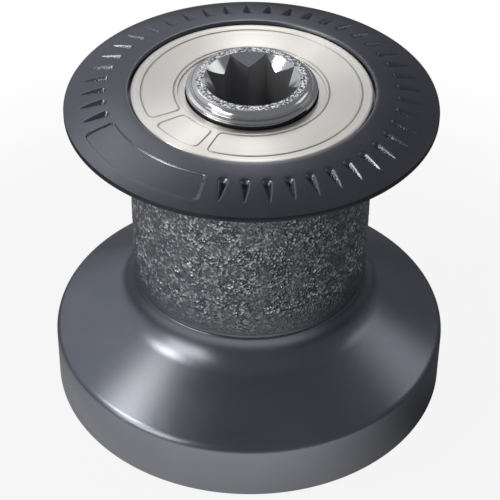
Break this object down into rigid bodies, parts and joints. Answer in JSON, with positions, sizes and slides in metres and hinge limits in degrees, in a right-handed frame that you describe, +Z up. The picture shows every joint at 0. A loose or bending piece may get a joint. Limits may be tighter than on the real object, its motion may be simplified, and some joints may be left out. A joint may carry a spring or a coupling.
{
  "type": "sailing winch",
  "caption": "Single-speed sailing winch with a skirted drum on a fixed stem, a notched crown, a dress plate and a star socket for the handle, driven through sprung ratchet pawls.",
  "frame": {"origin": "on the drum's axis, in the deck plane under the stem's flange", "axes": "+Z up along the drum's axis; +X to the right and -Y towards the viewer of the picture; the first base bolt lies on +X"},
  "size_m": [0.1088, 0.1088, 0.098],
  "materials": {
    "cast_bronze": "as cast and machined",
    "anodised": "satin dark grey anodised",
    "satin_plate": "circular brushed, clear anodised",
    "polished_bronze": "polished and chrome plated",
    "hardened_steel": "hardened and ground stainless steel",
    "spring_steel": "bright drawn stainless wire",
    "bearing_plastic": "moulded acetal",
    "dark_washer": "moulded acetal, black"
  },
  "bodies": {
    "stem": {"centre_stem": "cast_bronze", "lower_bush": "bearing_plastic", "upper_bush": "bearing_plastic", "thrust_washer": "bearing_plastic", "roller_spacer": "bearing_plastic", "holding_pawl_spring_1": "spring_steel", "holding_pawl_spring_2": "spring_steel", "holding_pawl_spring_3": "spring_steel"},
    "drum": {"drum": "anodised", "holding_ratchet_ring": "hardened_steel", "ring_screws": "hardened_steel", "drive_ratchet_ring": "hardened_steel", "crown": "anodised", "crown_screws": "hardened_steel", "dress_plate": "satin_plate"},
    "lower_bearing": {"lower_roller_cage": "bearing_plastic", "lower_rollers": "hardened_steel"},
    "upper_bearing": {"upper_roller_cage": "bearing_plastic", "upper_rollers": "hardened_steel"},
    "spindle": {"spindle": "polished_bronze", "retaining_ring": "spring_steel", "wear_washer": "dark_washer", "spindle_washer": "bearing_plastic", "spindle_circlip": "spring_steel", "drive_pawl_spring_1": "spring_steel", "drive_pawl_spring_2": "spring_steel"},
    "holding_pawl_1": {"holding_pawl_1": "hardened_steel"},
    "holding_pawl_2": {"holding_pawl_2": "hardened_steel"},
    "holding_pawl_3": {"holding_pawl_3": "hardened_steel"},
    "drive_pawl_1": {"drive_pawl_1": "hardened_steel"},
    "drive_pawl_2": {"drive_pawl_2": "hardened_steel"}
  },
  "joints": [
    {"name": "drum_spin", "type": "hinge", "parent": "stem", "child": "drum", "pos_m": [0, 0, 0.04], "axis": [0, 0, 1], "continuous": true},
    {"name": "spindle_spin", "type": "hinge", "parent": "stem", "child": "spindle", "pos_m": [0, 0, 0.09], "axis": [0, 0, 1], "continuous": true},
    {"name": "lower_bearing_spin", "type": "hinge", "parent": "stem", "child": "lower_bearing", "pos_m": [0, 0, 0.028], "axis": [0, 0, 1], "continuous": true},
    {"name": "upper_bearing_spin", "type": "hinge", "parent": "stem", "child": "upper_bearing", "pos_m": [0, 0, 0.0667], "axis": [0, 0, 1], "continuous": true},
    {"name": "holding_pawl_1_swing", "type": "hinge", "parent": "stem", "child": "holding_pawl_1", "pos_m": [0.02353, 0.00903, 0.0141], "axis": [0, 0, 1], "range_deg": [0, 16], "stiffness_Nm_per_rad": 0.01, "springref_deg": 34.38, "deforming": ["holding_pawl_spring_1"]},
    {"name": "holding_pawl_2_swing", "type": "hinge", "parent": "stem", "child": "holding_pawl_2", "pos_m": [-0.01958, 0.01586, 0.0141], "axis": [0, 0, 1], "range_deg": [0, 16], "stiffness_Nm_per_rad": 0.01, "springref_deg": 34.38, "deforming": ["holding_pawl_spring_2"]},
    {"name": "holding_pawl_3_swing", "type": "hinge", "parent": "stem", "child": "holding_pawl_3", "pos_m": [-0.00394, -0.02489, 0.0141], "axis": [0, 0, 1], "range_deg": [0, 16], "stiffness_Nm_per_rad": 0.01, "springref_deg": 34.38, "deforming": ["holding_pawl_spring_3"]},
    {"name": "drive_pawl_1_swing", "type": "hinge", "parent": "spindle", "child": "drive_pawl_1", "pos_m": [0.016, 0.0078, 0.083], "axis": [0, 0, 1], "range_deg": [0, 14], "stiffness_Nm_per_rad": 0.01, "springref_deg": 34.38, "deforming": ["drive_pawl_spring_1"]},
    {"name": "drive_pawl_2_swing", "type": "hinge", "parent": "spindle", "child": "drive_pawl_2", "pos_m": [-0.016, -0.0078, 0.083], "axis": [0, 0, 1], "range_deg": [0, 14], "stiffness_Nm_per_rad": 0.01, "springref_deg": 34.38, "deforming": ["drive_pawl_spring_2"]}
  ],
  "couplings": [
    {"joint": "lower_bearing_spin", "follows": "drum_spin", "ratio": 0.5503},
    {"joint": "upper_bearing_spin", "follows": "drum_spin", "ratio": 0.5503}
  ]
}
